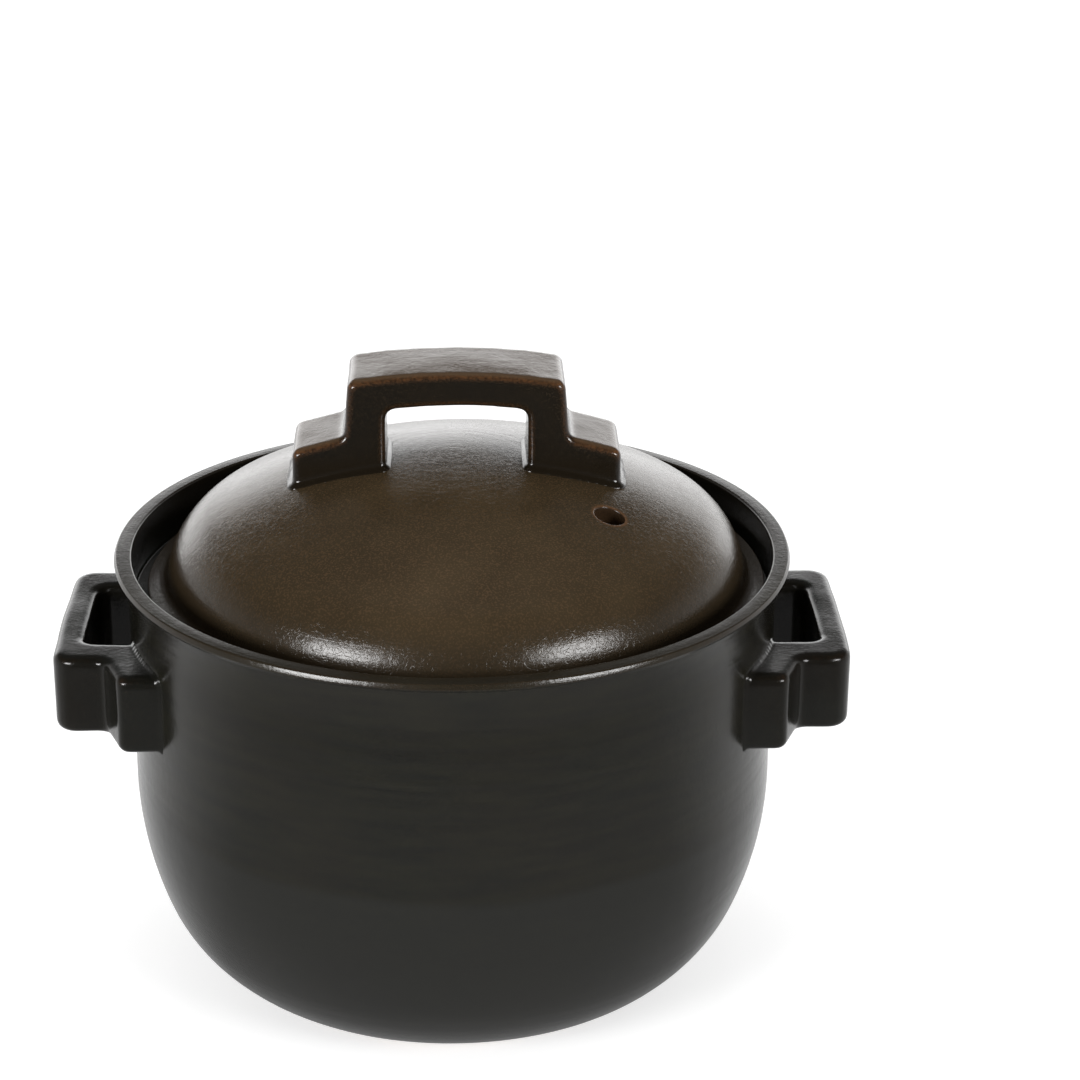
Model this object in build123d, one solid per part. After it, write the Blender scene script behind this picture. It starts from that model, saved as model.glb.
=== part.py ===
from build123d import *
import os
from math import asin, atan2, cos, degrees, sin, sqrt

# Earthenware rice pot with two lids, in millimetres, +Z up.
# The origin is the middle of the base, on the plane that the pot stands on.
# +X runs from handle to handle and the steam hole lies at the front right.

# Pot: outside
body_height = 143.0
wall_radius = 101.0
lip_overhang = 4.0
lip_edge_height = 4.0
lip_depth = 20.0
lip_rounding = 2.6
lip_under_rounding = 3.0
belly_start_height = 70.0
belly_bend_radius = 110.0
base_turn_height = 30.0
foot_ring_width = 10.0
foot_recess_depth = 1.5
foot_rounding = 1.0

# Pot: inside
wall_thickness = 12.5
floor_thickness = 11.0
lip_width = 5.6
outer_ledge_depth = 15.0
outer_ledge_width = 7.0
inner_ledge_depth = 25.0
ledge_rounding = 0.8

# Outer lid, which sits a little to the right of the middle in its clearance
outer_lid_clearance = 3.0
outer_lid_offset = 1.2
flange_thickness = 5.0
flange_width = 6.1
flange_rounding = 1.0
dome_rise = 39.7
shoulder_radius = 24.5
dome_cove_radius = 3.0
outer_lid_thickness = 7.0
outer_lid_mouth_rounding = 2.0
steam_hole_radius = 4.2
steam_hole_x = 45.7
steam_hole_y = -30.0
steam_hole_rounding = 0.8

# Outer lid's handle, with heights above the top of the dome
lid_handle_height = 28.8
lid_handle_span = 66.0
lid_handle_leg_spread = 1.4
lid_handle_foot_span = 100.6
lid_handle_depth = 28.4
lid_handle_setback = 4.0
lid_handle_leg = 11.5
lid_handle_bar = 10.8
lid_handle_bar_end = 9.4
lid_handle_crown = 2.7
lid_handle_foot_height = 8.1
lid_handle_toe_drop = 4.3
lid_handle_corner_radius = 3.2
lid_handle_inside_radius = 3.0
lid_handle_edge_rounding = 2.0

# Side handles, with reaches beyond the wall
side_handle_reach = 21.8
side_handle_span = 69.6
side_handle_foot_span = 99.0
side_handle_height = 25.3
side_handle_top_below_rim = 24.0
side_handle_arm = 13.0
side_handle_bar = 9.3
side_handle_bar_end = 8.8
side_handle_crown = 0.8
side_handle_foot_reach = 5.2
side_handle_toe_drop = 5.8
side_handle_corner_radius = 7.0
side_handle_inside_radius = 4.0
side_handle_edge_rounding = 2.5

# Inner lid and its knob
inner_lid_clearance = 1.0
inner_lid_thickness = 6.0
inner_lid_rise = 5.0
inner_lid_seat_width = 6.0
inner_lid_rounding = 0.8
inner_vent_radius = 4.5
inner_vent_distance = 42.0
knob_radius = 16.0
knob_waist_radius = 10.5
knob_height = 17.0
knob_waist_height = 7.0
knob_cap_rise = 2.5
knob_rounding = 2.2

# Radii and heights that follow
lip_radius = wall_radius + lip_overhang
rim_radius = lip_radius - lip_width
outer_ledge_radius = rim_radius - outer_ledge_width
cavity_radius = wall_radius - wall_thickness
outer_ledge_height = body_height - outer_ledge_depth
inner_ledge_height = body_height - inner_ledge_depth
flange_radius = rim_radius - outer_lid_clearance
dome_radius = flange_radius - flange_width
flange_top_height = outer_ledge_height + flange_thickness
dome_top_height = flange_top_height + dome_rise
inner_lid_radius = outer_ledge_radius - inner_lid_clearance
inner_lid_top_height = inner_ledge_height + inner_lid_thickness + inner_lid_rise


def solid_of_revolution(outline):
    """Turn a closed outline of radii and heights about the upright axis."""
    return revolve(Plane.XZ * outline, Axis.Z, 360)


def corners(sketch, places):
    """The corners of a sketch that lie nearest to the given places."""
    return [sketch.vertices().sort_by_distance(place)[0] for place in places]


def rounded(sketch, places, radius):
    """Round the named corners of a sketch."""
    return fillet(corners(sketch, places), radius)


def bowl_curve(side_radius, bend_radius, floor_height):
    """Two tangent arcs from the upright wall down to a level floor, and where they end."""
    turn = asin((belly_start_height - base_turn_height) / bend_radius)
    corner_radius = (base_turn_height - floor_height) / (1 - sin(turn))
    centre = (side_radius - bend_radius, belly_start_height)
    corner_centre = (centre[0] + (bend_radius - corner_radius) * cos(turn), floor_height + corner_radius)
    belly = CenterArc(centre, bend_radius, 0, -degrees(turn))
    corner = CenterArc(corner_centre, corner_radius, -degrees(turn), degrees(turn) - 90)
    return [belly, corner], (corner_centre[0], floor_height)


def outside_lines():
    """The pot's outer outline from the rim's outer corner down to the edge of the base."""
    arcs, base_edge = bowl_curve(wall_radius, belly_bend_radius, 0)
    lip_end = (wall_radius, body_height - lip_depth)
    lip_start = (lip_radius, body_height - lip_edge_height)
    flare_height = lip_depth - lip_edge_height
    flare_radius = (flare_height**2 + lip_overhang**2) / (2 * lip_overhang)
    flare_angle = degrees(asin(flare_height / flare_radius))
    flare_centre = (wall_radius + flare_radius, body_height - lip_depth)
    lines = [
        Line((lip_radius, body_height), lip_start),
        CenterArc(flare_centre, flare_radius, 180 - flare_angle, flare_angle),
        Line(lip_end, (wall_radius, belly_start_height)),
    ]
    return lines + arcs, base_edge


def lip_rounded(sketch):
    """Round the two outer corners of the lip."""
    sketch = rounded(sketch, [(lip_radius, body_height)], lip_rounding)
    return rounded(sketch, [(lip_radius, body_height - lip_edge_height)], lip_under_rounding)


def pot_envelope():
    """The pot's outside as one full solid, which the side handles are fitted to."""
    lines, base_edge = outside_lines()
    closing = Polyline(base_edge, (0, 0), (0, body_height), (lip_radius, body_height))
    return solid_of_revolution(lip_rounded(make_face(lines + [closing])))


def pot_body():
    """The pot: rounded lip, two ledges for the lids, deep cavity and a low foot ring."""
    lines, base_edge = outside_lines()
    arcs, floor_edge = bowl_curve(cavity_radius, belly_bend_radius - wall_thickness, floor_thickness)
    foot_inside = base_edge[0] - foot_ring_width
    underside = Polyline(
        base_edge,
        (foot_inside, 0),
        (foot_inside, foot_recess_depth),
        (0, foot_recess_depth),
        (0, floor_thickness),
        floor_edge,
    )
    ledge_steps = [
        (rim_radius, outer_ledge_height),
        (outer_ledge_radius, outer_ledge_height),
        (outer_ledge_radius, inner_ledge_height),
        (cavity_radius, inner_ledge_height),
    ]
    mouth = Polyline(
        (lip_radius, body_height),
        (rim_radius, body_height),
        *ledge_steps,
        (cavity_radius, belly_start_height),
    )
    outline = lip_rounded(make_face(lines + arcs + [underside, mouth]))
    outline = rounded(outline, [(rim_radius, body_height)] + ledge_steps, ledge_rounding)
    outline = rounded(outline, [(foot_inside, 0)], foot_rounding)
    return solid_of_revolution(outline)


def dome_curve(inset):
    """The dome's two arcs, shoulder then crown, drawn in by a wall's thickness."""
    reach = dome_radius - shoulder_radius
    crown_radius = (reach**2 + dome_rise**2 - shoulder_radius**2) / (2 * (dome_rise - shoulder_radius))
    crown_centre = (0, dome_top_height - crown_radius)
    turn = degrees(atan2(flange_top_height - crown_centre[1], reach))
    shoulder = CenterArc((reach, flange_top_height), shoulder_radius - inset, 0, turn)
    crown = CenterArc(crown_centre, crown_radius - inset, turn, 90 - turn)
    return [shoulder, crown]


def dome_envelope():
    """The dome's outside as one full solid, which the lid's handle is fitted to."""
    closing = Polyline((0, dome_top_height), (0, flange_top_height), (dome_radius, flange_top_height))
    return solid_of_revolution(make_face(dome_curve(0) + [closing]))


def outer_lid():
    """The domed lid with its flange, hollow underside and one steam hole."""
    mouth_radius = dome_radius - outer_lid_thickness
    axis_line = Line((0, dome_top_height), (0, dome_top_height - outer_lid_thickness))
    flange_line = Polyline(
        (dome_radius, flange_top_height),
        (flange_radius, flange_top_height),
        (flange_radius, outer_ledge_height),
        (mouth_radius, outer_ledge_height),
        (mouth_radius, flange_top_height),
    )
    outline = make_face(dome_curve(0) + dome_curve(outer_lid_thickness) + [axis_line, flange_line])
    outline = rounded(outline, [(dome_radius, flange_top_height)], dome_cove_radius)
    flange_corners = [(flange_radius, flange_top_height), (flange_radius, outer_ledge_height)]
    outline = rounded(outline, flange_corners, flange_rounding)
    outline = rounded(outline, [(mouth_radius, outer_ledge_height)], outer_lid_mouth_rounding)
    lid = solid_of_revolution(outline)
    hole_place = (steam_hole_x, steam_hole_y, dome_top_height)
    lid -= Pos(*hole_place) * Cylinder(steam_hole_radius, 2 * dome_rise)
    hole_edges = lid.edges().sort_by_distance(hole_place)[:1]
    return fillet(hole_edges, steam_hole_rounding)


def staple(reach, foot, seat, sizes):
    """A handle's outline: a bar on two legs, each with a foot that slopes outwards."""
    side = sizes["span"] / 2
    toe = sizes["foot_span"] / 2
    inside = side - sizes["leg"]
    shoulder = reach - sizes["crown"]
    ceiling = shoulder - sizes["bar_end"]
    toe_level = foot - sizes["toe_drop"]
    right = Polyline(
        (inside, ceiling),
        (inside, seat),
        (toe, seat),
        (toe, toe_level),
        (side + sizes["spread"], foot),
        (side, shoulder),
    )
    top = ThreePointArc((side, shoulder), (0, reach), (-side, shoulder))
    under = ThreePointArc((inside, ceiling), (0, reach - sizes["bar"]), (-inside, ceiling))
    outline = make_face([right, mirror(right, Plane.YZ), top, under])
    bar_corners = [(side, shoulder), (-side, shoulder)]
    inside_corners = [(inside, ceiling), (side + sizes["spread"], foot), (toe, toe_level)]
    mirrored_corners = [(-across, up) for across, up in inside_corners]
    outline = rounded(outline, bar_corners, sizes["corner_radius"])
    return rounded(outline, inside_corners + mirrored_corners, sizes["inside_radius"])


def outer_lid_handle(dome):
    """The lid's handle, standing across the lid and cut to lie on the dome."""
    sizes = {
        "span": lid_handle_span,
        "spread": lid_handle_leg_spread,
        "foot_span": lid_handle_foot_span,
        "leg": lid_handle_leg,
        "bar": lid_handle_bar,
        "bar_end": lid_handle_bar_end,
        "crown": lid_handle_crown,
        "toe_drop": lid_handle_toe_drop,
        "corner_radius": lid_handle_corner_radius,
        "inside_radius": lid_handle_inside_radius,
    }
    reach = dome_top_height + lid_handle_height
    foot = dome_top_height + lid_handle_foot_height
    outline = staple(reach, foot, flange_top_height, sizes)
    handle = extrude(Plane.XZ * outline, lid_handle_depth / 2, both=True)
    edges = handle.faces().filter_by(Axis.Y).edges()
    return Pos(0, lid_handle_setback, 0) * fillet(edges, lid_handle_edge_rounding) - dome


def side_handle(turn, pot):
    """One side handle, lying level and cut to lie on the wall; turn is -1 left and 1 right."""
    sizes = {
        "span": side_handle_span,
        "spread": 0,
        "foot_span": side_handle_foot_span,
        "leg": side_handle_arm,
        "bar": side_handle_bar,
        "bar_end": side_handle_bar_end,
        "crown": side_handle_crown,
        "toe_drop": side_handle_toe_drop,
        "corner_radius": side_handle_corner_radius,
        "inside_radius": side_handle_inside_radius,
    }
    reach = wall_radius + side_handle_reach
    foot = wall_radius + side_handle_foot_reach
    seat = sqrt(cavity_radius**2 - (side_handle_foot_span / 2) ** 2)
    under_height = body_height - side_handle_top_below_rim - side_handle_height
    level = Plane((0, 0, under_height), x_dir=(0, -turn, 0), z_dir=(0, 0, 1))
    handle = extrude(level * staple(reach, foot, seat, sizes), side_handle_height)
    edges = handle.faces().filter_by(Axis.Z).edges()
    return fillet(edges, side_handle_edge_rounding) - pot


def crown_arc(half_width, edge_height, rise):
    """A shallow arc from an edge up to the upright axis."""
    radius = (half_width**2 + rise**2) / (2 * rise)
    start = degrees(asin((radius - rise) / radius))
    return CenterArc((0, edge_height + rise - radius), radius, start, 90 - start)


def inner_lid():
    """The inner lid, slightly domed, with a steam hole each side of its knob."""
    hollow_radius = inner_lid_radius - inner_lid_seat_width
    edge_height = inner_ledge_height + inner_lid_thickness
    axis_line = Line((0, inner_ledge_height + inner_lid_rise), (0, inner_lid_top_height))
    edge = Polyline(
        (inner_lid_radius, edge_height),
        (inner_lid_radius, inner_ledge_height),
        (hollow_radius, inner_ledge_height),
    )
    top = crown_arc(inner_lid_radius, edge_height, inner_lid_rise)
    under = crown_arc(hollow_radius, inner_ledge_height, inner_lid_rise)
    outline = make_face([axis_line, top, edge, under])
    edge_corners = [(inner_lid_radius, edge_height), (inner_lid_radius, inner_ledge_height)]
    lid = solid_of_revolution(rounded(outline, edge_corners, inner_lid_rounding))
    vent = Cylinder(inner_vent_radius, 2 * (inner_lid_thickness + inner_lid_rise))
    for turn in (-1, 1):
        lid -= Pos(turn * inner_vent_distance, 0, inner_lid_top_height) * vent
    return lid


def inner_lid_knob(lid):
    """A turned knob with a waist, cut to lie on the inner lid."""
    seat = inner_lid_top_height - inner_lid_thickness / 2
    cap_edge_height = inner_lid_top_height + knob_height - knob_cap_rise
    cap_under_height = inner_lid_top_height + knob_waist_height
    side = Polyline(
        (0, cap_edge_height + knob_cap_rise),
        (0, seat),
        (knob_waist_radius, seat),
        (knob_waist_radius, cap_under_height),
        (knob_radius, cap_under_height),
        (knob_radius, cap_edge_height),
    )
    outline = make_face([side, crown_arc(knob_radius, cap_edge_height, knob_cap_rise)])
    waist_corners = [(knob_waist_radius, cap_under_height), (knob_radius, cap_under_height)]
    outline = rounded(outline, waist_corners + [(knob_radius, cap_edge_height)], knob_rounding)
    return solid_of_revolution(outline) - lid


def build():
    """Make every piece of the pot."""
    pot = pot_envelope()
    lower_lid = inner_lid()
    lid_place = Pos(outer_lid_offset, 0, 0)
    return {
        "pot_body": pot_body(),
        "side_handle_left": side_handle(-1, pot),
        "side_handle_right": side_handle(1, pot),
        "outer_lid": lid_place * outer_lid(),
        "outer_lid_handle": lid_place * outer_lid_handle(dome_envelope()),
        "inner_lid": lower_lid,
        "inner_lid_knob": inner_lid_knob(lower_lid),
    }


os.makedirs("parts", exist_ok=True)
for name, piece in build().items():
    export_step(piece, f"parts/{name}.step")
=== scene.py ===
from math import asin, atan2, cos, pi, radians, sin, sqrt, tan

import bmesh
import bpy
import numpy as np
from mathutils import Matrix, Vector, noise


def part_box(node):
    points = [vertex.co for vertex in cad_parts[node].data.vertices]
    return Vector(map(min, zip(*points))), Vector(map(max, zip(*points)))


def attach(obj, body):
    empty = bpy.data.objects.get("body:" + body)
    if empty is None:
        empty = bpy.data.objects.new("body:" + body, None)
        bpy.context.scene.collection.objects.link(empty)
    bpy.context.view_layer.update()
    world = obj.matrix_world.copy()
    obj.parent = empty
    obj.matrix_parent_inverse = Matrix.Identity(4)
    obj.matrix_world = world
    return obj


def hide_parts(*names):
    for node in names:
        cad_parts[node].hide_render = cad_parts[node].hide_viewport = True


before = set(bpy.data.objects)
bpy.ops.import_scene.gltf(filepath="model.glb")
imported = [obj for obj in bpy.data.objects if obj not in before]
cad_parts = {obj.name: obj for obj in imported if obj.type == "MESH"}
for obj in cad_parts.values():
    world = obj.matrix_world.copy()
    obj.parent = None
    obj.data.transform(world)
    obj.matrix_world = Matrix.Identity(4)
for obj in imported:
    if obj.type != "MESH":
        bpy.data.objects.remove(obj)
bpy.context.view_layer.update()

# A dark-glazed clay rice pot with a domed lid, its handles and an inner lid, in metres.
# The main sizes are read from the solids; the small ones are named here in millimetres.
MM = 0.001

pot_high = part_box("pot_body")[1]
lid_low, lid_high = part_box("outer_lid")
lid_handle_low, lid_handle_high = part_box("outer_lid_handle")
inner_low, inner_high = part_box("inner_lid")
knob_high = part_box("inner_lid_knob")[1]

# Pot
RIM = pot_high.z
LIP_RADIUS = 105 * MM
LIP_FALL = 0.15 * MM
LIP_SLOPE = 0.62 * MM
LIP_EDGE = 1.85 * MM
LIP_UNDERCUT = 1.4 * MM
LIP_DEPTH = 20 * MM
LIP_ROUNDING = 0.5 * MM
LIP_CROWN_ROUNDING = 0.6 * MM
LIP_WIDTH = 5.6 * MM
LIP_OVERHANG = 4 * MM
WALL_RADIUS = LIP_RADIUS - LIP_OVERHANG
WALL_THICKNESS = 12.5 * MM
BELLY_START = 70 * MM
BELLY_BEND = 110 * MM
BASE_TURN = 30 * MM
FLOOR_THICKNESS = 11 * MM
FOOT_RING_WIDTH = 10 * MM
FOOT_RECESS = 1.5 * MM
LEDGE_ROUNDING = 0.8 * MM
RIM_RADIUS = LIP_RADIUS - LIP_WIDTH
OUTER_LEDGE = lid_low.z
OUTER_LEDGE_WIDTH = 7 * MM
OUTER_LEDGE_RADIUS = RIM_RADIUS - OUTER_LEDGE_WIDTH
INNER_LEDGE = inner_low.z
CAVITY_RADIUS = WALL_RADIUS - WALL_THICKNESS

# Outer lid, which is made about its own axis and then moved to its middle
LID_MIDDLE = Vector(((lid_low.x + lid_high.x) / 2, 0, 0))
LID_TOP = lid_high.z
FLANGE_RADIUS = (lid_high.x - lid_low.x) / 2
FLANGE_THICKNESS = 5 * MM
FLANGE_TOP = OUTER_LEDGE + FLANGE_THICKNESS
FLANGE_WIDTH = 6.1 * MM
FLANGE_ROUNDING = 1 * MM
DOME_RADIUS = FLANGE_RADIUS - FLANGE_WIDTH
SHOULDER_RADIUS = 24.5 * MM
LID_THICKNESS = 7 * MM
MOUTH_ROUNDING = 2 * MM
COVE_RADIUS = 3 * MM
STEAM_HOLE = Vector((45.7 * MM, -30 * MM))
STEAM_HOLE_RADIUS = 4.2 * MM
HOLE_BEVEL = 0.8 * MM

# Inner lid and knob
INNER_LID_RADIUS = inner_high.x
INNER_LID_THICKNESS = 6 * MM
INNER_LID_RISE = 5 * MM
INNER_LID_SEAT = 6 * MM
VENT_DISTANCE = 42 * MM
VENT_RADIUS = 4.5 * MM
KNOB_RADIUS = knob_high.x
KNOB_WAIST = 10.5 * MM
KNOB_WAIST_HEIGHT = 7 * MM
KNOB_CAP_RISE = 2.5 * MM
KNOB_CAP_ROUNDING = 2 * MM
KNOB_ROUNDING = 2.2 * MM
KNOB_LUTING = 1.5 * MM
KNOB_SKIRT_WIDTH = 2 * MM
KNOB_SKIRT_DEPTH = 1.2 * MM
KNOB_SEAT_DEPTH = 2 * MM

# The two kinds of handle: half spans along the bar, thicknesses and drops away from the clay
LID_HANDLE = {
    "side": 33 * MM, "spread": 1.4 * MM, "toe": 50.3 * MM, "leg": 11.5 * MM, "bar": 10.8 * MM,
    "bar_end": 9.4 * MM, "crown": 2.7 * MM, "foot": 8.1 * MM, "toe_drop": 4.3 * MM, "outer": 3.2 * MM,
    "inner": 3 * MM, "bevel": 2.2 * MM, "luting": 1.9 * MM,
}
SIDE_HANDLE = {
    "side": 34.8 * MM, "spread": 0, "toe": 49.5 * MM, "leg": 13 * MM, "bar": 9.3 * MM,
    "bar_end": 8.8 * MM, "crown": 0.8 * MM, "foot": 5.2 * MM, "toe_drop": 5.8 * MM, "outer": 7 * MM,
    "inner": 4 * MM, "bevel": 2.7 * MM, "luting": 1.2 * MM,
}
SEAT_DEPTH = 3 * MM
SEAT_MARGIN = 1 * MM

# Marks of the hand: turning rings and slow unevenness of the thrown pieces, dents of the handles
POT_MARKS = {"ring_gap": 7.5 * MM, "ring_depth": 0.035 * MM, "wobble_size": 55 * MM, "wobble_depth": 0.3 * MM}
LID_MARKS = {"ring_gap": 9 * MM, "ring_depth": 0.05 * MM, "wobble_size": 45 * MM, "wobble_depth": 0.5 * MM}
INNER_MARKS = {"ring_gap": 6 * MM, "ring_depth": 0.06 * MM, "wobble_size": 45 * MM, "wobble_depth": 0.4 * MM}
KNOB_MARKS = {"ring_gap": 5 * MM, "ring_depth": 0.05 * MM, "wobble_size": 20 * MM, "wobble_depth": 0.3 * MM}
RING_PATCH = 40 * MM
DENT_SIZE = 16 * MM
DENT_DEPTH = 0.22 * MM

# Mesh fineness
TURN_STEPS = 288
OUTLINE_STEP = 1.6 * MM
KNOB_TURN_STEPS = 96
KNOB_STEP = 0.9 * MM
MERGE_DISTANCE = 0.01 * MM
HANDLE_STEP = 2 * MM
HANDLE_VOXEL = 0.62 * MM
HANDLE_SMOOTHING = 5

# Glaze: heights where it changes, and distances from the steam hole's axis
DIPPED_FROM = 72 * MM
DIPPED_FULLY = 69.5 * MM
LINE_WAVER = 5 * MM
RIM_THIN_FROM = RIM - 3 * MM
RIM_THIN_FULLY = RIM - 1 * MM
BARE_FROM = 3.4 * MM
BARE_FULLY = 2.2 * MM
# Painted shade: heights between which the dome's glaze is painted darker towards its foot
FOOT_SHADE_FROM = FLANGE_TOP + 24 * MM
FOOT_SHADE_FULLY = FLANGE_TOP + 6 * MM
HOLE_RUST_FROM = STEAM_HOLE_RADIUS + 1.8 * MM
HOLE_RUST_FULLY = STEAM_HOLE_RADIUS + 0.8 * MM
# Painted shade inside the steam hole, by distance from its axis
HOLE_SHADE_FROM = STEAM_HOLE_RADIUS + 0.7 * MM
HOLE_SHADE_FULLY = STEAM_HOLE_RADIUS + 0.3 * MM
GRIP_FROM = LID_TOP - 1 * MM
GRIP_FULLY = LID_TOP + 3 * MM
BUMP_DISTANCE = 0.1 * MM

# Studio: what reflections find in each direction, and the floor's glow over distance in metres
WHITE_BEHIND = 1.15
DARK_IN_FRONT = 0.07
FLOOR_DARK_UNTIL = -0.9
WORLD_DARK_UNTIL = -0.5
HORIZON_UP_TO = 0.12
CEILING_FROM = 0.50
CEILING_LEVEL = 0.06
WORLD_LEVEL = 0.36
FLOOR_SIZE = 12
FLOOR_PAINT = (0.86, 0.86, 0.86, 1)
WHITE = (1, 1, 1, 1)
FLOOR_LIFT = {"low": 0.5, "high": 1.8, "to_low": 0.5, "to_high": 0.75}
TABLE_GLOW = {"low": 0.30, "high": 0.48, "to_low": 0.34, "to_high": 0.0}
LAMPS = {
    "softbox_left": {
        "azimuth": -43, "elevation": 16, "distance": 1.3, "width": 0.56, "height": 0.30, "radiance": 22,
    },
    "softbox_right": {
        "azimuth": 45, "elevation": 18, "distance": 1.3, "width": 0.56, "height": 0.30, "radiance": 18,
    },
    "back_panel": {
        "azimuth": 180, "elevation": 8, "distance": 1.8, "width": 3.2, "height": 0.8, "radiance": 1.25,
    },
    "top_panel": {
        "azimuth": 180, "elevation": 80, "distance": 1.6, "width": 1.0, "height": 0.8, "radiance": 2.2,
        "mirrored": False,
    },
}

# Camera: it aims at the height of the rim, a little to the right of the pot's axis
AIM = Vector((27.1 * MM, 0, RIM + 0.24 * MM))
CAMERA_DISTANCE = 0.9
CAMERA_TURN = radians(1.97)
CAMERA_TILT = radians(22.42)
CAMERA_ROLL = radians(0.56)
CAMERA_LENS = 96.13
CAMERA_SENSOR = 36


def arc(centre, radius, start, end, count=24):
    """Points of an arc in radius and height, with its angles in radians."""
    angles = [start + (end - start) * i / count for i in range(count + 1)]
    return [Vector((centre[0] + radius * cos(a), centre[1] + radius * sin(a))) for a in angles]


def rounded_corner(before, corner, after, radius, count=6):
    """Points that round a corner between two straight lines."""
    back = (before - corner).normalized()
    ahead = (after - corner).normalized()
    half = back.angle(ahead) / 2
    centre = corner + (back + ahead).normalized() * radius / sin(half)
    first = corner + back * radius / tan(half) - centre
    last = corner + ahead * radius / tan(half) - centre
    start = atan2(first.y, first.x)
    sweep = (atan2(last.y, last.x) - start + pi) % (2 * pi) - pi
    return arc(centre, radius, start, start + sweep, count)


def softened(points, roundings):
    """An outline whose named corners, given by their index, are rounded."""
    result = []
    for i, point in enumerate(points):
        if i in roundings:
            result += rounded_corner(points[i - 1], point, points[i + 1], roundings[i])
        else:
            result.append(point)
    return result


def resampled(points, step, closed=False):
    """The same outline with its long lines divided."""
    result = [points[0]]
    for before, after in zip(points, points[1:] + (points[:1] if closed else [])):
        count = max(1, round((after - before).length / step))
        result += [before.lerp(after, (i + 1) / count) for i in range(count)]
    return result[:-1] if closed else result


def bowl_curve(side_radius, bend_radius, floor_height):
    """Two tangent arcs from the upright wall down to a level floor."""
    turn = asin((BELLY_START - BASE_TURN) / bend_radius)
    corner_radius = (BASE_TURN - floor_height) / (1 - sin(turn))
    corner_x = side_radius - bend_radius + (bend_radius - corner_radius) * cos(turn)
    belly = arc((side_radius - bend_radius, BELLY_START), bend_radius, 0, -turn)
    corner = arc((corner_x, floor_height + corner_radius), corner_radius, -turn, -pi / 2, 30)
    return belly + corner[1:]


def dome_curve(inset):
    """The dome's arcs from its foot to its top, drawn in by the wall's thickness."""
    reach = DOME_RADIUS - SHOULDER_RADIUS
    rise = LID_TOP - FLANGE_TOP
    crown_radius = (reach**2 + rise**2 - SHOULDER_RADIUS**2) / (2 * (rise - SHOULDER_RADIUS))
    centre_height = LID_TOP - crown_radius
    turn = atan2(FLANGE_TOP - centre_height, reach)
    shoulder = arc((reach, FLANGE_TOP), SHOULDER_RADIUS - inset, 0, turn)
    crown = arc((0, centre_height), crown_radius - inset, turn, pi / 2, 40)
    return shoulder + crown[1:]


def height_on(curve, radius):
    """The height of a dome's curve at a given radius."""
    ordered = sorted(curve, key=lambda point: point.x)
    return float(np.interp(radius, [p.x for p in ordered], [p.y for p in ordered]))


def crown_curve(half_width, edge_height, rise):
    """A shallow arc from an edge up to the upright axis."""
    radius = (half_width**2 + rise**2) / (2 * rise)
    start = asin((radius - rise) / radius)
    return arc((0, edge_height + rise - radius), radius, start, pi / 2)


def finished(name, bm, body, nodes, material):
    """Turn a bmesh into a smooth piece that rides on a body and stands for its nodes."""
    mesh = bpy.data.meshes.new(name)
    bm.to_mesh(mesh)
    bm.free()
    mesh.shade_smooth()
    mark_edges(mesh)
    mesh.materials.append(material)
    piece = bpy.data.objects.new(name, mesh)
    bpy.context.scene.collection.objects.link(piece)
    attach(piece, body)
    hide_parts(*nodes)


def mark_edges(mesh, passes=4):
    """Store how convex the surface is at each vertex, per millimetre, and how far it faces up."""
    count = len(mesh.vertices)
    place = np.empty(count * 3)
    mesh.vertices.foreach_get("co", place)
    place = place.reshape(-1, 3) / MM
    normal = np.empty(count * 3)
    mesh.vertices.foreach_get("normal", normal)
    normal = normal.reshape(-1, 3)
    ends = np.empty(len(mesh.edges) * 2, dtype=int)
    mesh.edges.foreach_get("vertices", ends)
    a, b = ends.reshape(-1, 2).T
    across = place[a] - place[b]
    length = np.maximum((across**2).sum(1), 1e-6)
    bend = np.zeros(count)
    links = np.zeros(count)
    np.add.at(bend, a, (across * normal[a]).sum(1) / length)
    np.add.at(bend, b, -(across * normal[b]).sum(1) / length)
    np.add.at(links, a, 1)
    np.add.at(links, b, 1)
    links = np.maximum(links, 1)
    bend /= links
    for _ in range(passes):
        spread = np.zeros(count)
        np.add.at(spread, a, bend[b])
        np.add.at(spread, b, bend[a])
        bend = (bend + spread / links) / 2
    for name, values in (("edge", bend), ("top", normal[:, 2])):
        layer = mesh.attributes.new(name, "FLOAT", "POINT")
        layer.data.foreach_set("value", np.clip(values, 0, 1).astype(np.float32))


def turned(outline, steps=TURN_STEPS):
    """Spin an outline about the upright axis into a closed surface."""
    bm = bmesh.new()
    verts = [bm.verts.new((point.x, 0, point.y)) for point in outline]
    edges = [bm.edges.new(pair) for pair in zip(verts, verts[1:])]
    bmesh.ops.spin(
        bm, geom=verts + edges, cent=(0, 0, 0), axis=(0, 0, 1), angle=2 * pi, steps=steps, use_merge=True
    )
    bmesh.ops.remove_doubles(bm, verts=bm.verts, dist=MERGE_DISTANCE)
    bmesh.ops.recalc_face_normals(bm, faces=bm.faces)
    return bm


def handled(bm, ring_gap, ring_depth, wobble_size, wobble_depth):
    """Press a potter's turning rings and slow unevenness into a surface, always inwards."""
    bm.normal_update()
    moves = []
    for vert in bm.verts:
        turn = atan2(vert.co.y, vert.co.x)
        ring = sin(2 * pi * vert.co.z / ring_gap + turn) + sin(3.7 * pi * vert.co.z / ring_gap - turn)
        strength = 0.5 + 0.5 * noise.noise(vert.co / RING_PATCH)
        slow = noise.noise(vert.co / wobble_size) - 0.6
        moves.append(vert.normal * ((ring - 2) * ring_depth * strength / 2 + slow * wobble_depth))
    for vert, move in zip(bm.verts, moves):
        vert.co += move


def loops_of(edges):
    """Split boundary edges into their closed loops."""
    left = set(edges)
    loops = []
    while left:
        stack = [left.pop()]
        loop = []
        while stack:
            edge = stack.pop()
            loop.append(edge)
            for vert in edge.verts:
                for other in vert.link_edges:
                    if other in left:
                        left.remove(other)
                        stack.append(other)
        loops.append(loop)
    return loops


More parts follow.
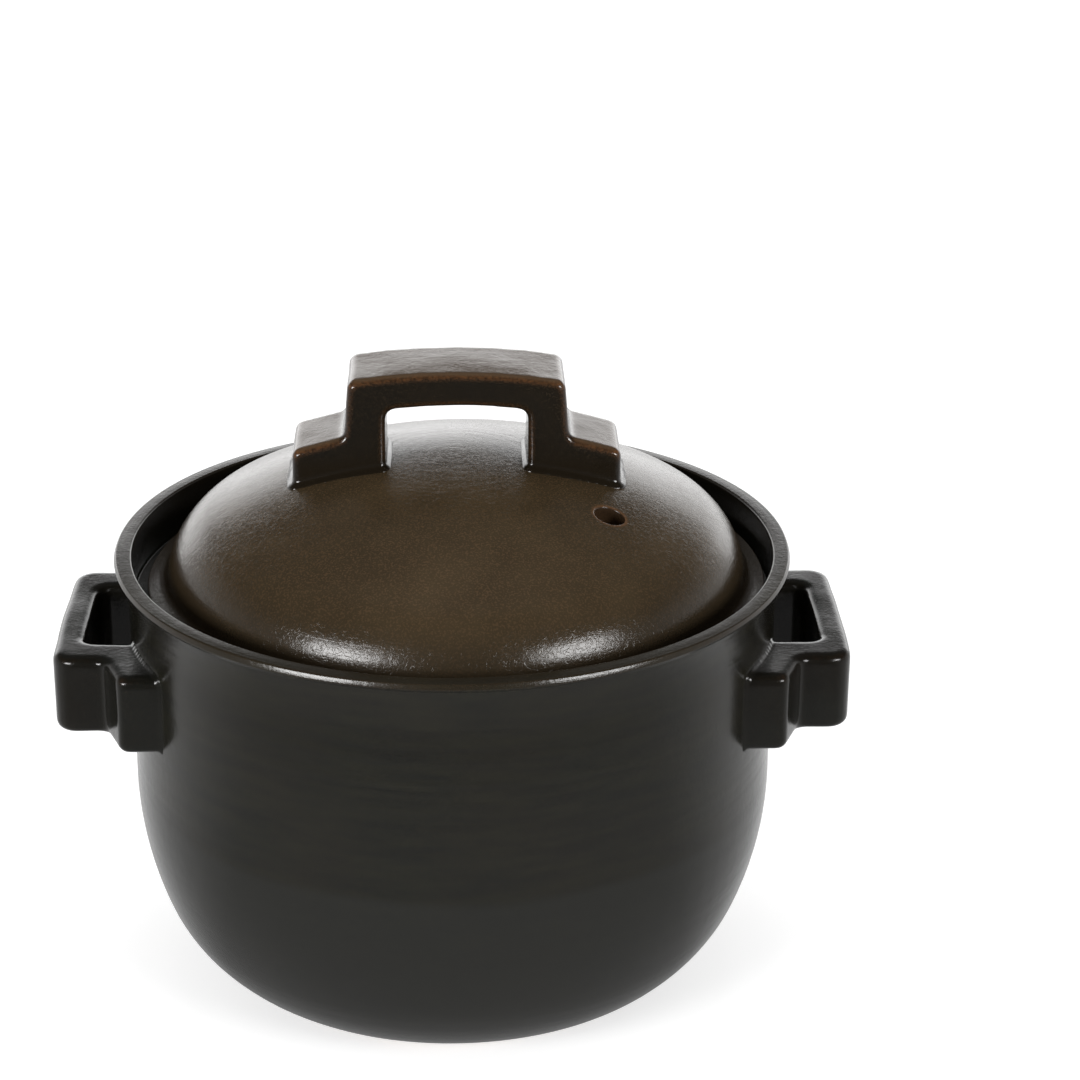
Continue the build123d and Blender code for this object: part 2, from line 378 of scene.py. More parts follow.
def punched(bm, centre, radius, surfaces):
    """Punch an upright round hole through a lid and soften its two edges."""
    clear = radius * 2
    gone = [f for f in bm.faces if (f.calc_center_median().xy - centre).length < clear]
    bmesh.ops.delete(bm, geom=gone, context="FACES")
    loops = loops_of([e for e in bm.edges if e.is_boundary])
    loops.sort(key=lambda loop: -max(e.verts[0].co.z for e in loop))
    rings = []
    for loop, surface in zip(loops, surfaces):
        place = Matrix.Translation((centre.x, centre.y, 0))
        made = bmesh.ops.create_circle(bm, segments=len(loop), radius=radius, matrix=place)
        ring = list({e for v in made["verts"] for e in v.link_edges})
        for vert in made["verts"]:
            vert.co.z = height_on(surface, vert.co.xy.length)
        bridge = bmesh.ops.bridge_loops(bm, edges=loop + ring)
        spokes = [e for e in {e for f in bridge["faces"] for e in f.edges} if e not in loop and e not in ring]
        fresh = bmesh.ops.subdivide_edges(bm, edges=spokes, cuts=2, use_grid_fill=True)
        for item in fresh["geom_inner"]:
            if isinstance(item, bmesh.types.BMVert):
                item.co.z = height_on(surface, item.co.xy.length)
        rings.append(ring)
    wall = bmesh.ops.bridge_loops(bm, edges=rings[0] + rings[1])
    spokes = {e for f in wall["faces"] for e in f.edges} - set(rings[0]) - set(rings[1])
    bmesh.ops.subdivide_edges(bm, edges=list(spokes), cuts=3, use_grid_fill=True)
    bmesh.ops.bevel(
        bm, geom=rings[0] + rings[1], offset=HOLE_BEVEL, offset_type="OFFSET", segments=4, profile=0.5,
        affect="EDGES", material=-1,
    )
    bmesh.ops.recalc_face_normals(bm, faces=bm.faces)


def pot_outline():
    """The pot's half section, from the cavity's floor over the rim and down to the foot."""
    inside = bowl_curve(CAVITY_RADIUS, BELLY_BEND - WALL_THICKNESS, FLOOR_THICKNESS)
    outside = bowl_curve(WALL_RADIUS, BELLY_BEND, 0)
    flare_height = LIP_DEPTH - LIP_EDGE - LIP_UNDERCUT
    overhang = LIP_RADIUS - WALL_RADIUS - LIP_UNDERCUT
    flare_radius = (flare_height**2 + overhang**2) / (2 * overhang)
    flare_centre = (WALL_RADIUS + flare_radius, RIM - LIP_DEPTH)
    flare = arc(flare_centre, flare_radius, pi - asin(flare_height / flare_radius), pi, 12)
    ledges = [
        Vector((CAVITY_RADIUS, BELLY_START)),
        Vector((CAVITY_RADIUS, INNER_LEDGE)),
        Vector((OUTER_LEDGE_RADIUS, INNER_LEDGE)),
        Vector((OUTER_LEDGE_RADIUS, OUTER_LEDGE)),
        Vector((RIM_RADIUS, OUTER_LEDGE)),
        Vector((RIM_RADIUS, RIM)),
        Vector((LIP_RADIUS - LIP_SLOPE, RIM - LIP_FALL)),
        Vector((LIP_RADIUS, RIM - LIP_EDGE)),
        flare[0],
        flare[2],
    ]
    roundings = {1: LEDGE_ROUNDING, 2: LEDGE_ROUNDING, 3: LEDGE_ROUNDING, 4: LEDGE_ROUNDING}
    roundings.update({5: LEDGE_ROUNDING, 6: LIP_CROWN_ROUNDING, 7: LIP_ROUNDING, 8: LIP_ROUNDING})
    foot_inside = outside[-1].x - FOOT_RING_WIDTH
    foot = [Vector((foot_inside, 0)), Vector((foot_inside, FOOT_RECESS)), Vector((0, FOOT_RECESS))]
    points = [Vector((0, FLOOR_THICKNESS))] + inside[::-1][:-1] + softened(ledges, roundings)
    points += flare[3:] + outside + foot
    return resampled(points, OUTLINE_STEP)


def make_pot(material):
    """The thrown pot."""
    bm = turned(pot_outline())
    handled(bm, **POT_MARKS)
    finished("pot", bm, "pot", ["pot_body"], material)


def lid_outline():
    """The outer lid's half section, from its top over the flange and under to its middle."""
    outside = dome_curve(0)[::-1]
    inside = dome_curve(LID_THICKNESS)
    mouth = DOME_RADIUS - LID_THICKNESS
    flange = [
        outside[-4],
        Vector((DOME_RADIUS, FLANGE_TOP)),
        Vector((FLANGE_RADIUS, FLANGE_TOP)),
        Vector((FLANGE_RADIUS, OUTER_LEDGE)),
        Vector((mouth, OUTER_LEDGE)),
        inside[0],
    ]
    roundings = {1: COVE_RADIUS, 2: FLANGE_ROUNDING, 3: FLANGE_ROUNDING, 4: MOUTH_ROUNDING}
    return resampled(outside[:-4] + softened(flange, roundings) + inside[1:], OUTLINE_STEP)


def make_lid(material):
    """The outer lid with its steam hole."""
    bm = turned(lid_outline())
    punched(bm, STEAM_HOLE, STEAM_HOLE_RADIUS, [dome_curve(0), dome_curve(LID_THICKNESS)])
    handled(bm, **LID_MARKS)
    bmesh.ops.translate(bm, verts=bm.verts, vec=LID_MIDDLE)
    finished("lid", bm, "lid", ["outer_lid"], material)


def make_inner_lid(material):
    """The flat lid inside, with two steam holes."""
    edge = INNER_LEDGE + INNER_LID_THICKNESS
    hollow = INNER_LID_RADIUS - INNER_LID_SEAT
    top = crown_curve(INNER_LID_RADIUS, edge, INNER_LID_RISE)
    under = crown_curve(hollow, INNER_LEDGE, INNER_LID_RISE)
    side = [top[1], top[0], Vector((INNER_LID_RADIUS, INNER_LEDGE)), under[0], under[1]]
    side = softened(side, {1: LEDGE_ROUNDING, 2: LEDGE_ROUNDING})
    bm = turned(resampled(top[::-1][:-2] + side + under[2:], OUTLINE_STEP))
    for turn in (-1, 1):
        punched(bm, Vector((turn * VENT_DISTANCE, 0)), VENT_RADIUS, [top, under])
    handled(bm, **INNER_MARKS)
    finished("lower_lid", bm, "lower_lid", ["inner_lid"], material)


def make_knob(material):
    """The inner lid's turned knob."""
    lid_top = INNER_LEDGE + INNER_LID_THICKNESS + INNER_LID_RISE
    cap_edge = knob_high.z - KNOB_CAP_RISE
    neck = lid_top + KNOB_WAIST_HEIGHT
    cap = crown_curve(KNOB_RADIUS, cap_edge, KNOB_CAP_RISE)
    side = [
        cap[1],
        cap[0],
        Vector((KNOB_RADIUS, neck)),
        Vector((KNOB_WAIST, neck)),
        Vector((KNOB_WAIST, lid_top)),
        Vector((KNOB_WAIST + KNOB_SKIRT_WIDTH, lid_top - KNOB_SKIRT_DEPTH)),
        Vector((0, lid_top - KNOB_SEAT_DEPTH)),
    ]
    side = softened(side, {1: KNOB_CAP_ROUNDING, 2: KNOB_ROUNDING, 3: KNOB_ROUNDING, 4: KNOB_LUTING})
    bm = turned(resampled(cap[::-1][:-2] + side, KNOB_STEP), KNOB_TURN_STEPS)
    handled(bm, **KNOB_MARKS)
    finished("lower_lid_knob", bm, "lower_lid", ["inner_lid_knob"], material)


def staple_outline(sizes, reach, foot, seat):
    """A handle's outline: a bar on two legs, each with a foot that slopes outwards."""
    side, toe = sizes["side"], sizes["toe"]
    inside = side - sizes["leg"]
    shoulder = reach - sizes["crown"]
    ceiling = shoulder - sizes["bar_end"]
    toe_level = foot - sizes["toe_drop"]
    under_rise = reach - sizes["bar"] - ceiling
    crown = crown_curve(side, shoulder, sizes["crown"])[::8]
    under = crown_curve(inside, ceiling, under_rise)[::6]
    leg = [
        Vector((side + sizes["spread"], foot)),
        Vector((toe, toe_level)),
        Vector((toe, seat)),
        Vector((inside, seat)),
    ]
    turn = len(crown) - 1
    roundings = {turn: sizes["outer"]}
    roundings.update({turn + step: sizes["inner"] for step in (1, 2, 5)})
    half = softened(crown[::-1] + leg + under, roundings)
    left = [Vector((-p.x, p.y)) for p in half[-2:0:-1]]
    return resampled(half + left, HANDLE_STEP, closed=True)


def staple_block(outline, to_place, depth, seat, bevel):
    """Extrude a handle's outline and soften the edges of its two flat faces."""
    bm = bmesh.new()
    face = bm.faces.new([bm.verts.new(to_place(point.x, point.y, -depth / 2)) for point in outline])
    thrust = to_place(0, 0, depth / 2) - to_place(0, 0, -depth / 2)
    above_seat = {v for v, p in zip(face.verts, outline) if p.y > seat + SEAT_MARGIN}
    rim = [e for e in face.edges if set(e.verts) <= above_seat]
    pushed = bmesh.ops.extrude_face_region(bm, geom=[face], use_keep_orig=True)
    new_verts = [item for item in pushed["geom"] if isinstance(item, bmesh.types.BMVert)]
    new_faces = [item for item in pushed["geom"] if isinstance(item, bmesh.types.BMFace)]
    bmesh.ops.translate(bm, verts=new_verts, vec=thrust)
    low = to_place(0, seat + SEAT_MARGIN, 0)
    out = (to_place(0, 1, 0) - to_place(0, 0, 0)).normalized()
    far = [e for f in new_faces for e in f.edges if all((v.co - low).dot(out) > 0 for v in e.verts)]
    bmesh.ops.bevel(
        bm, geom=rim + far, offset=bevel, offset_type="OFFSET", segments=4, profile=0.5,
        affect="EDGES", material=-1,
    )
    bmesh.ops.recalc_face_normals(bm, faces=bm.faces)
    return bm


def remeshed(bm):
    """Give a block an even, soft skin, as of clay that was pressed and wiped."""
    mesh = bpy.data.meshes.new("block")
    bm.to_mesh(mesh)
    bm.free()
    block = bpy.data.objects.new("block", mesh)
    bpy.context.scene.collection.objects.link(block)
    skin = block.modifiers.new("skin", "REMESH")
    skin.mode = "VOXEL"
    skin.voxel_size = HANDLE_VOXEL
    soft = block.modifiers.new("soft", "SMOOTH")
    soft.factor = 0.5
    soft.iterations = HANDLE_SMOOTHING
    graph = bpy.context.evaluated_depsgraph_get()
    result = bpy.data.meshes.new_from_object(block.evaluated_get(graph))
    bpy.data.objects.remove(block)
    bm = bmesh.new()
    bm.from_mesh(result)
    bpy.data.meshes.remove(result)
    return bm


def luted(bm, radius, rise_over, away):
    """Flare a handle's feet into the clay they stand on, and keep its seat inside that clay."""
    bm.normal_update()
    moves = []
    for vert in bm.verts:
        rise = rise_over(vert.co)
        outward = away(vert.co)
        slide = vert.normal - outward * vert.normal.dot(outward)
        gap = min(max(radius - rise, 0), radius)
        flare = radius - sqrt(radius**2 - gap**2)
        sink = max(-SEAT_DEPTH - rise, 0)
        moves.append(slide * flare + outward * sink)
    for vert, move in zip(bm.verts, moves):
        vert.co += move


def pressed(bm):
    """Dents left by the hand, always inwards."""
    bm.normal_update()
    moves = [v.normal * (noise.noise(v.co / DENT_SIZE) - 0.6) * DENT_DEPTH for v in bm.verts]
    for vert, move in zip(bm.verts, moves):
        vert.co += move


def staple(sizes, reach, foot, seat, depth, to_place, rise_over, away):
    """A handle of soft clay that is luted onto a surface."""
    outline = staple_outline(sizes, reach, foot, seat)
    bm = remeshed(staple_block(outline, to_place, depth, seat, sizes["bevel"]))
    luted(bm, sizes["luting"], rise_over, away)
    pressed(bm)
    return bm


def make_lid_handle(material):
    """The handle across the dome, set back from its middle."""
    dome = dome_curve(0)
    setback = (lid_handle_high.y + lid_handle_low.y) / 2
    bm = staple(
        LID_HANDLE,
        reach=lid_handle_high.z,
        foot=LID_TOP + LID_HANDLE["foot"],
        seat=height_on(dome, LID_HANDLE["toe"]) - SEAT_DEPTH,
        depth=lid_handle_high.y - lid_handle_low.y,
        to_place=lambda along, out, across: Vector((along, across + setback, out)),
        rise_over=lambda place: place.z - height_on(dome, place.xy.length),
        away=lambda place: Vector((0, 0, 1)),
    )
    bmesh.ops.translate(bm, verts=bm.verts, vec=LID_MIDDLE)
    finished("lid_handle", bm, "lid", ["outer_lid_handle"], material)


def make_side_handle(turn, name, node, material):
    """A handle on the wall; turn is -1 for the left side and 1 for the right."""
    low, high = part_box(node)
    middle = (low.z + high.z) / 2
    bm = staple(
        SIDE_HANDLE,
        reach=max(abs(low.x), abs(high.x)),
        foot=WALL_RADIUS + SIDE_HANDLE["foot"],
        seat=sqrt(WALL_RADIUS**2 - SIDE_HANDLE["toe"] ** 2) - SEAT_DEPTH,
        depth=high.z - low.z,
        to_place=lambda along, out, across: Vector((out * turn, along, across + middle)),
        rise_over=lambda place: place.xy.length - WALL_RADIUS,
        away=lambda place: Vector((place.x, place.y, 0)).normalized(),
    )
    finished(name, bm, "pot", [node], material)


def add(tree, kind, settings=None, **inputs):
    """A node with its settings and socket values; an input may be a link's source."""
    made = tree.nodes.new(kind)
    for key, value in (settings or {}).items():
        setattr(made, key, value)
    for key, value in inputs.items():
        socket = made.inputs[int(key[1:])] if key[1:].isdigit() else made.inputs[key.replace("_", " ")]
        if isinstance(value, bpy.types.NodeSocket):
            tree.links.new(value, socket)
        else:
            socket.default_value = value
    return made


def mix_colour(tree, mask, first, second):
    """Two colours mixed by a mask."""
    made = tree.nodes.new("ShaderNodeMix")
    made.data_type = "RGBA"
    for socket, value in ((made.inputs[0], mask), (made.inputs[6], first), (made.inputs[7], second)):
        if isinstance(value, bpy.types.NodeSocket):
            tree.links.new(value, socket)
        else:
            socket.default_value = value
    return made.outputs[2]


def maths(tree, operation, first, second=0.0):
    """One sum on values."""
    return add(tree, "ShaderNodeMath", {"operation": operation}, i0=first, i1=second).outputs[0]


def banded(tree, value, low, high, to_low=0.0, to_high=1.0):
    """A value stretched from one band to another, and held at its ends."""
    ends = {"From_Min": low, "From_Max": high, "To_Min": to_low, "To_Max": to_high}
    return add(tree, "ShaderNodeMapRange", None, Value=value, **ends).outputs[0]


def grained(tree, place, scale, detail=2.0, roughness=0.5, distortion=0.0):
    """Noise as a value about one half."""
    shape = {"Scale": scale, "Detail": detail, "Roughness": roughness, "Distortion": distortion}
    return add(tree, "ShaderNodeTexNoise", None, Vector=place, **shape).outputs[0]


def axes_of(tree, place):
    """The three parts of a place, by name."""
    return add(tree, "ShaderNodeSeparateXYZ", None, Vector=place).outputs


def flattened(tree, place):
    """A place without its height."""
    axes = axes_of(tree, place)
    return add(tree, "ShaderNodeCombineXYZ", None, X=axes["X"], Y=axes["Y"]).outputs[0]


def length_of(tree, place):
    """How far a place is from the origin."""
    return add(tree, "ShaderNodeVectorMath", {"operation": "LENGTH"}, i0=place).outputs["Value"]


def stored(tree, name):
    """A value stored on the mesh."""
    return add(tree, "ShaderNodeAttribute", {"attribute_name": name}).outputs["Fac"]


def group(name, inputs, outputs):
    """An empty shader node group with named sockets."""
    tree = bpy.data.node_groups.new(name, "ShaderNodeTree")
    for key, kind, value in inputs:
        socket = tree.interface.new_socket(key, in_out="INPUT", socket_type=kind)
        if value is not None:
            socket.default_value = value
    for key, kind in outputs:
        tree.interface.new_socket(key, in_out="OUTPUT", socket_type=kind)
    return tree, tree.nodes.new("NodeGroupInput"), tree.nodes.new("NodeGroupOutput")


def relief_group():
    """Height of a fired glaze: turning marks, slow ripple, orange peel, grooves and pinholes."""
    number = "NodeSocketFloat"
    tree, given, result = group(
        "glaze_relief",
        [("Vector", "NodeSocketVector", None)]
        + [(key, number, 0.3) for key in ("Turning", "Ripple", "Peel", "Grooves", "Pits")],
        [("Height", number)],
    )
    place = given.outputs["Vector"]
    ripple = grained(tree, place, scale=170.0)
    peel = grained(tree, place, scale=800.0, detail=1.0)
    reach = length_of(tree, flattened(tree, place))
    section = add(tree, "ShaderNodeCombineXYZ", None, X=reach, Z=axes_of(tree, place)["Z"]).outputs[0]
    turning = grained(tree, section, scale=420.0, detail=3.0, roughness=0.6)
    veins = grained(tree, place, scale=620.0, roughness=0.55, distortion=0.7)
    veins = maths(tree, "ABSOLUTE", maths(tree, "SUBTRACT", veins, 0.5))
    grooves = banded(tree, veins, 0.0, 0.06, 1.0, 0.0)
    cells = add(tree, "ShaderNodeTexVoronoi", {"feature": "F1"}, Vector=place, Scale=420.0)
    pits = banded(tree, cells.outputs["Distance"], 0.0, 0.28, 1.0, 0.0)
    sparse = grained(tree, place, scale=260.0, detail=0.0)
    pits = maths(tree, "MULTIPLY", pits, banded(tree, sparse, 0.52, 0.62))
    height = maths(tree, "MULTIPLY", turning, given.outputs["Turning"])
    height = maths(tree, "ADD", height, maths(tree, "MULTIPLY", ripple, given.outputs["Ripple"]))
    height = maths(tree, "ADD", height, maths(tree, "MULTIPLY", peel, given.outputs["Peel"]))
    height = maths(tree, "SUBTRACT", height, maths(tree, "MULTIPLY", grooves, given.outputs["Grooves"]))
    height = maths(tree, "SUBTRACT", height, maths(tree, "MULTIPLY", pits, given.outputs["Pits"]))
    tree.links.new(height, result.inputs["Height"])
    return tree


def speckle_group():
    """Iron speckle in a glaze, as a mask."""
    number = "NodeSocketFloat"
    tree, given, result = group(
        "iron_speckle",
        [("Vector", "NodeSocketVector", None), ("Scale", number, 900.0), ("Cover", number, 0.5)],
        [("Mask", number)],
    )
    grain = grained(tree, given.outputs["Vector"], given.outputs["Scale"])
    above = maths(tree, "SUBTRACT", grain, given.outputs["Cover"])
    tree.links.new(banded(tree, above, 0.0, 0.08), result.inputs["Mask"])
    return tree


def edge_group():
    """Where a glaze runs thin over an edge, as a broken mask."""
    number = "NodeSocketFloat"
    tree, given, result = group(
        "edge_break",
        [("Vector", "NodeSocketVector", None)]
        + [("Low", number, 0.06), ("High", number, 0.2), ("Broken", number, 0.5)],
        [("Mask", number)],
    )
    upward = banded(tree, stored(tree, "top"), -0.2, 0.35, 0.3, 1.0)
    edge = maths(tree, "MULTIPLY", stored(tree, "edge"), upward)
    rough = grained(tree, given.outputs["Vector"], scale=900.0, detail=3.0, roughness=0.7)
    shift = maths(tree, "MULTIPLY", maths(tree, "SUBTRACT", rough, 0.5), given.outputs["Broken"])
    edge = maths(tree, "MULTIPLY", edge, maths(tree, "ADD", shift, 1.0))
    mask = banded(tree, edge, given.outputs["Low"], given.outputs["High"])
    streaks = grained(tree, given.outputs["Vector"], scale=1300.0)
    streaky = maths(tree, "MULTIPLY", mask, banded(tree, streaks, 0.38, 0.62, 0.35, 1.0))
    tree.links.new(streaky, result.inputs["Mask"])
    return tree


RELIEF = relief_group()
SPECKLE = speckle_group()
EDGE_BREAK = edge_group()

BLACK_BROWN = (0.0092, 0.0082, 0.0060, 1)
OLIVE_BLACK = (0.0072, 0.0072, 0.0056, 1)
OLIVE_SHEEN = (0.0160, 0.0150, 0.0086, 1)
COOL_BLACK = (0.0140, 0.0142, 0.0124, 1)
# A dark glaze tone, also used as painted shade inside the steam hole
GLAZE_AND_SHADE_BROWN = (0.0070, 0.0058, 0.0042, 1)
WARM_BLACK = (0.0098, 0.0070, 0.0040, 1)
WARM_BROWN = (0.050, 0.0345, 0.0175, 1)
DEEP_BROWN = (0.036, 0.0250, 0.0130, 1)
# Painted sheen for the lid handle's upward faces
TOP_SHEEN_BROWN = (0.088, 0.055, 0.030, 1)
LID_SPECK = (0.15, 0.085, 0.042, 1)
# Painted shade for the foot of the dome
FOOT_SHADE_BROWN = (0.017, 0.0125, 0.0075, 1)
RUST = (0.25, 0.105, 0.040, 1)
TAN_SPECK = (0.085, 0.060, 0.034, 1)
BARE_CLAY = (0.36, 0.25, 0.17, 1)
SCORCHED_CLAY = (0.20, 0.125, 0.08, 1)


def using(tree, node_group, **inputs):
    """The result of a node group that is placed in a material."""
    return add(tree, "ShaderNodeGroup", {"node_tree": node_group}, **inputs).outputs[0]


def new_material(name):
    """A node material with its Principled shader and Object coordinates."""
    material = bpy.data.materials.new(name)
    material.use_nodes = True
    tree = material.node_tree
    shader = tree.nodes["Principled BSDF"]
    place = tree.nodes.new("ShaderNodeTexCoord").outputs["Object"]
    return material, tree, shader, place


def glaze(name, thick, thin, speck, look):
    """A fired iron glaze: two tones in clouds, speckle, rust on its edges and a rippled gloss."""
    material, tree, shader, place = new_material(name)
    clouds = grained(tree, place, scale=28.0, detail=4.0, roughness=0.55)
    colour = mix_colour(tree, banded(tree, clouds, 0.38, 0.66), thick, thin)
    specks = using(tree, SPECKLE, Vector=place, Scale=look["speck_scale"], Cover=look["speck_cover"])
    colour = mix_colour(tree, maths(tree, "MULTIPLY", specks, look["speck"]), colour, speck)
    edges = using(tree, EDGE_BREAK, Vector=place, Low=look["edge_low"], High=look["edge_high"], Broken=1.6)
    colour = mix_colour(tree, maths(tree, "MULTIPLY", edges, look["rust"]), colour, RUST)
    tree.links.new(colour, shader.inputs["Base Color"])
    rough = banded(tree, clouds, 0.3, 0.7, look["rough"] * 0.85, look["rough"] * 1.15)
    tree.links.new(rough, shader.inputs["Roughness"])
    shader.inputs["IOR"].default_value = look["ior"]
    height = using(
        tree, RELIEF, Vector=place, Turning=look["turning"], Ripple=look["ripple"], Peel=look["peel"],
        Grooves=look["grooves"], Pits=look["pits"],
    )
    bump = add(tree, "ShaderNodeBump", None, Height=height, Strength=1.0, Distance=BUMP_DISTANCE)
    tree.links.new(bump.outputs[0], shader.inputs["Normal"])
    return material, tree, shader, place, colour, rough


def pot_glaze():
    """The pot's glaze: brown-black above, cooler where it was dipped twice, bare clay under the foot."""
    look = {
        "speck_scale": 1900.0, "speck_cover": 0.58, "speck": 0.06, "edge_low": 0.12, "edge_high": 0.34,
        "rust": 0.03, "rough": 0.20, "ior": 1.5, "turning": 0.9, "ripple": 0.6, "peel": 0.35, "grooves": 0.06,
        "pits": 0.15,
    }
    made = glaze("pot_glaze", OLIVE_BLACK, BLACK_BROWN, TAN_SPECK, look)
    material, tree, shader, place, colour, rough = made
    height = axes_of(tree, place)["Z"]
    waver = maths(tree, "SUBTRACT", grained(tree, place, scale=22.0), 0.5)
    level = maths(tree, "ADD", height, maths(tree, "MULTIPLY", waver, LINE_WAVER))
    dipped = banded(tree, level, DIPPED_FULLY, DIPPED_FROM, 1.0, 0.0)
    lain = add(tree, "ShaderNodeVectorMath", {"operation": "MULTIPLY"}, i0=place, i1=(0.12, 0.12, 1))
    streaks = grained(tree, lain.outputs["Vector"], scale=330.0, detail=3.0, roughness=0.6)
    colour = mix_colour(tree, banded(tree, streaks, 0.38, 0.66, 0.0, 0.4), colour, OLIVE_SHEEN)
    colour = mix_colour(tree, maths(tree, "MULTIPLY", dipped, 0.7), colour, COOL_BLACK)
    rim = banded(tree, height, RIM_THIN_FROM, RIM_THIN_FULLY, 0.0, 0.16)
    colour = mix_colour(tree, rim, colour, WARM_BROWN)
    bare = banded(tree, level, BARE_FULLY, BARE_FROM, 1.0, 0.0)
    grit = grained(tree, place, scale=700.0, detail=4.0, roughness=0.7)
    clay = mix_colour(tree, banded(tree, grit, 0.35, 0.65), SCORCHED_CLAY, BARE_CLAY)
    colour = mix_colour(tree, bare, colour, clay)
    tree.links.new(colour, shader.inputs["Base Color"])
    rough = maths(tree, "MAXIMUM", rough, maths(tree, "MULTIPLY", bare, 0.85))
    tree.links.new(rough, shader.inputs["Roughness"])
    return material


def lid_glaze():
    """The lid's glaze: warm speckled brown, with painted shade darker towards the dome's foot and inside the
    steam hole.
    """
    look = {
        "speck_scale": 1700.0, "speck_cover": 0.52, "speck": 0.22, "edge_low": 0.12, "edge_high": 0.34,
        "rust": 0.15, "rough": 0.20, "ior": 1.45, "turning": 0.7, "ripple": 0.7, "peel": 0.26,
        "grooves": 0.16, "pits": 0.15,
    }
    made = glaze("lid_glaze", DEEP_BROWN, WARM_BROWN, LID_SPECK, look)
    material, tree, shader, place, colour = made[:5]
    # Painted shade: the dome is painted darker towards its foot
    foot_shade = banded(tree, axes_of(tree, place)["Z"], FOOT_SHADE_FULLY, FOOT_SHADE_FROM, 0.75, 0.0)
    colour = mix_colour(tree, foot_shade, colour, FOOT_SHADE_BROWN)
    hole = (LID_MIDDLE.x + STEAM_HOLE.x, STEAM_HOLE.y, 0)
    away = add(tree, "ShaderNodeVectorMath", {"operation": "DISTANCE"}, i0=flattened(tree, place), i1=hole)
    away = away.outputs["Value"]
    ring = banded(tree, away, HOLE_RUST_FULLY, HOLE_RUST_FROM, 0.2, 0.0)
    colour = mix_colour(tree, ring, colour, RUST)
    # Painted shade: the steam hole's wall is painted near black
    inside = banded(tree, away, HOLE_SHADE_FULLY, HOLE_SHADE_FROM, 0.95, 0.0)
    colour = mix_colour(tree, inside, colour, GLAZE_AND_SHADE_BROWN)
    tree.links.new(colour, shader.inputs["Base Color"])
    return material


def handle_glaze():
    """The lid handle's glaze: a lighter brown painted on its upward faces as sheen, near black at the sides,
    rust on its edges.
    """
    look = {
        "speck_scale": 2200.0, "speck_cover": 0.55, "speck": 0.14, "edge_low": 0.02, "edge_high": 0.42,
        "rust": 0.85, "rough": 0.15, "ior": 1.5, "turning": 0.0, "ripple": 0.8, "peel": 0.22, "grooves": 0.08,
        "pits": 0.20,
    }
    made = glaze("handle_glaze", GLAZE_AND_SHADE_BROWN, WARM_BLACK, TAN_SPECK, look)
    material, tree, shader, place, colour = made[:5]
    clear = banded(tree, axes_of(tree, place)["Z"], GRIP_FROM, GRIP_FULLY)
    colour = mix_colour(tree, clear, WARM_BLACK, colour)
    # Painted sheen: the handle's upward faces are painted a lighter brown
    top = maths(tree, "MULTIPLY", clear, banded(tree, stored(tree, "top"), 0.6, 0.95, 0.0, 0.7))
    colour = mix_colour(tree, top, colour, TOP_SHEEN_BROWN)
    tree.links.new(colour, shader.inputs["Base Color"])
    return material


def side_handle_glaze():
    """The side handles' glaze: as the pot's, with less rust."""
    look = {
        "speck_scale": 2200.0, "speck_cover": 0.58, "speck": 0.06, "edge_low": 0.09, "edge_high": 0.30,
        "rust": 0.08, "rough": 0.17, "ior": 1.42, "turning": 0.0, "ripple": 0.6, "peel": 0.30,
        "grooves": 0.06, "pits": 0.20,
    }
    return glaze("side_handle_glaze", OLIVE_BLACK, GLAZE_AND_SHADE_BROWN, TAN_SPECK, look)[0]


def inner_glaze():
    """The inner lid's glaze: a plainer satin brown."""
    look = {
        "speck_scale": 2200.0, "speck_cover": 0.55, "speck": 0.2, "edge_low": 0.10, "edge_high": 0.3,
        "rust": 0.4, "rough": 0.32, "ior": 1.5, "turning": 0.6, "ripple": 0.5, "peel": 0.4, "grooves": 0.15,
        "pits": 0.25,
    }
    return glaze("inner_glaze", GLAZE_AND_SHADE_BROWN, DEEP_BROWN, TAN_SPECK, look)[0]


def room_light(tree, direction, dark_until):
    """How bright a reflection finds the studio: white behind the pot, dark in front of it."""
    flat = flattened(tree, direction)
    level = add(tree, "ShaderNodeVectorMath", {"operation": "NORMALIZE"}, i0=flat).outputs["Vector"]
    return banded(tree, axes_of(tree, level)["Y"], dark_until, 1.0, DARK_IN_FRONT, WHITE_BEHIND)


def make_floor():
    """A pale floor, which is not part of the object; reflections see a painted glow on it near the pot and a
    dark front.
    """
    bm = bmesh.new()
    bmesh.ops.create_grid(bm, x_segments=1, y_segments=1, size=FLOOR_SIZE)
    mesh = bpy.data.meshes.new("floor")
    bm.to_mesh(mesh)
    bm.free()
    floor = bpy.data.objects.new("floor", mesh)
    bpy.context.scene.collection.objects.link(floor)
    material, tree, shader, place = new_material("floor_paint")
    shader.inputs["Base Color"].default_value = FLOOR_PAINT
    shader.inputs["Roughness"].default_value = 0.9
    shader.inputs["Emission Color"].default_value = WHITE
    path = tree.nodes.new("ShaderNodeLightPath").outputs
    seen = maths(tree, "MAXIMUM", path["Is Camera Ray"], path["Is Transmission Ray"])
    away = length_of(tree, place)
    lift = banded(tree, away, **FLOOR_LIFT)
    tree.links.new(maths(tree, "MULTIPLY", seen, lift), shader.inputs["Emission Strength"])
    # Painted reflection: what reflections see of the floor is an emission, glowing near the pot and dark in
    # front
    glow = maths(tree, "MAXIMUM", banded(tree, away, **TABLE_GLOW), room_light(tree, place, FLOOR_DARK_UNTIL))
    mirrored = add(tree, "ShaderNodeEmission", None, Color=WHITE, Strength=glow)
    choice = add(tree, "ShaderNodeMixShader", None, i0=path["Is Glossy Ray"])
    tree.links.new(shader.outputs[0], choice.inputs[1])
    tree.links.new(mirrored.outputs[0], choice.inputs[2])
    tree.links.new(choice.outputs[0], tree.nodes["Material Output"].inputs["Surface"])
    mesh.materials.append(material)


